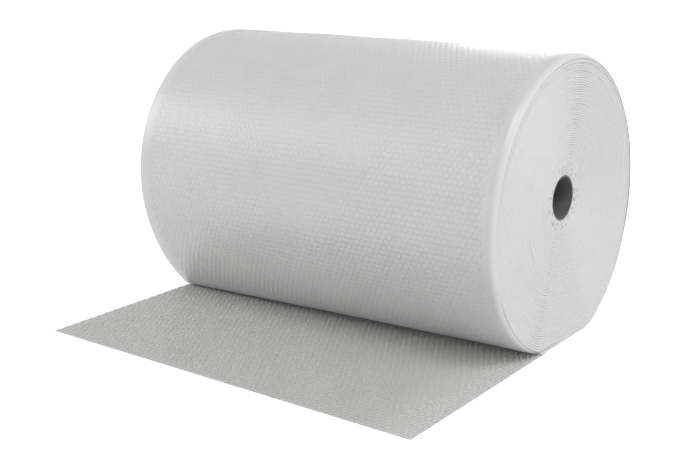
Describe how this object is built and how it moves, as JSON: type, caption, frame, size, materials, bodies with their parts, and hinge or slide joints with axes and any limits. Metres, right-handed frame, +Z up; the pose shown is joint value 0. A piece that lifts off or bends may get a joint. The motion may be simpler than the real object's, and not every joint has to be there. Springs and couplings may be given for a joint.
{
  "type": "bubble wrap roll",
  "caption": "Roll of bubble cushioning film wound on a plain tube, lying on its side with its loose end pulled out flat, for wrapping and protecting goods.",
  "frame": {"origin": "on the floor, straight below the core, half way along the roll", "axes": "+X along the core, -Y the way the loose end points, +Z up"},
  "size_m": [0.75, 0.7265, 0.4899],
  "materials": {
    "film": "soft translucent bubble film that looks white where it is wound thick",
    "tube": "dark grey, smooth and matte"
  },
  "bodies": {
    "root": {"bubble_wrap": "film", "core_tube": "tube"}
  },
  "joints": []
}
